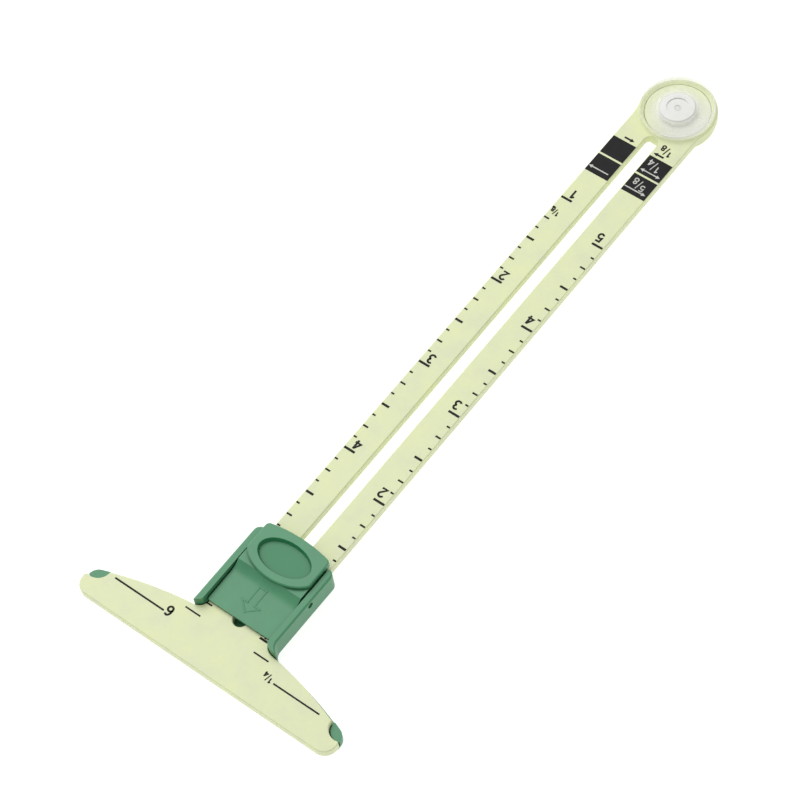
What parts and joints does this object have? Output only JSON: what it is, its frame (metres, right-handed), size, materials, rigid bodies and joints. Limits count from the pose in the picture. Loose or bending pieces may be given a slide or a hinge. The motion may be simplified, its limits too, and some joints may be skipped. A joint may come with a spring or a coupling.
{
  "type": "multifunction sliding gauge",
  "caption": "Slotted sewing gauge with a T-shaped head, a green slider with arms and a rocking lock button, and a clear compass pin at its round end.",
  "frame": {"origin": "centre of the flat edge of the T-shaped head, at half the blade's thickness", "axes": "+X along the flat edge, +Y up the stem to the round end, +Z out of the printed face"},
  "size_m": [0.066, 0.1748, 0.0074],
  "materials": {
    "cream_plastic": "moulded, fine satin",
    "green_plastic": "moulded, satin",
    "green_button_plastic": "moulded, satin",
    "spring_steel": "drawn wire",
    "clear_plastic": "clear, polished",
    "needle_steel": "polished"
  },
  "bodies": {
    "blade": {"scale_blade": "cream_plastic"},
    "slider": {"slider_body": "green_plastic", "button_spring": "spring_steel"},
    "lock_button": {"lock_button": "green_button_plastic"},
    "anchor_pin": {"anchor_knob": "clear_plastic", "anchor_needle": "needle_steel"},
    "pin_guard": {"pin_guard": "clear_plastic"}
  },
  "joints": [
    {"name": "slider_travel", "type": "slide", "parent": "blade", "child": "slider", "axis": [0, 1, 0], "range_m": [0, 0.1238]},
    {"name": "lock_button_press", "type": "hinge", "parent": "slider", "child": "lock_button", "pos_m": [0, 0.0239, 0.0018], "axis": [1, 0, 0], "range_deg": [-8, 0], "stiffness_Nm_per_rad": 0.1, "springref_deg": 8.59, "deforming": ["button_spring"]},
    {"name": "anchor_pull", "type": "slide", "parent": "blade", "child": "anchor_pin", "axis": [0, 0, 1], "range_m": [0, 0.012]},
    {"name": "guard_pull", "type": "slide", "parent": "blade", "child": "pin_guard", "axis": [0, 0, -1], "range_m": [0, 0.008]}
  ]
}
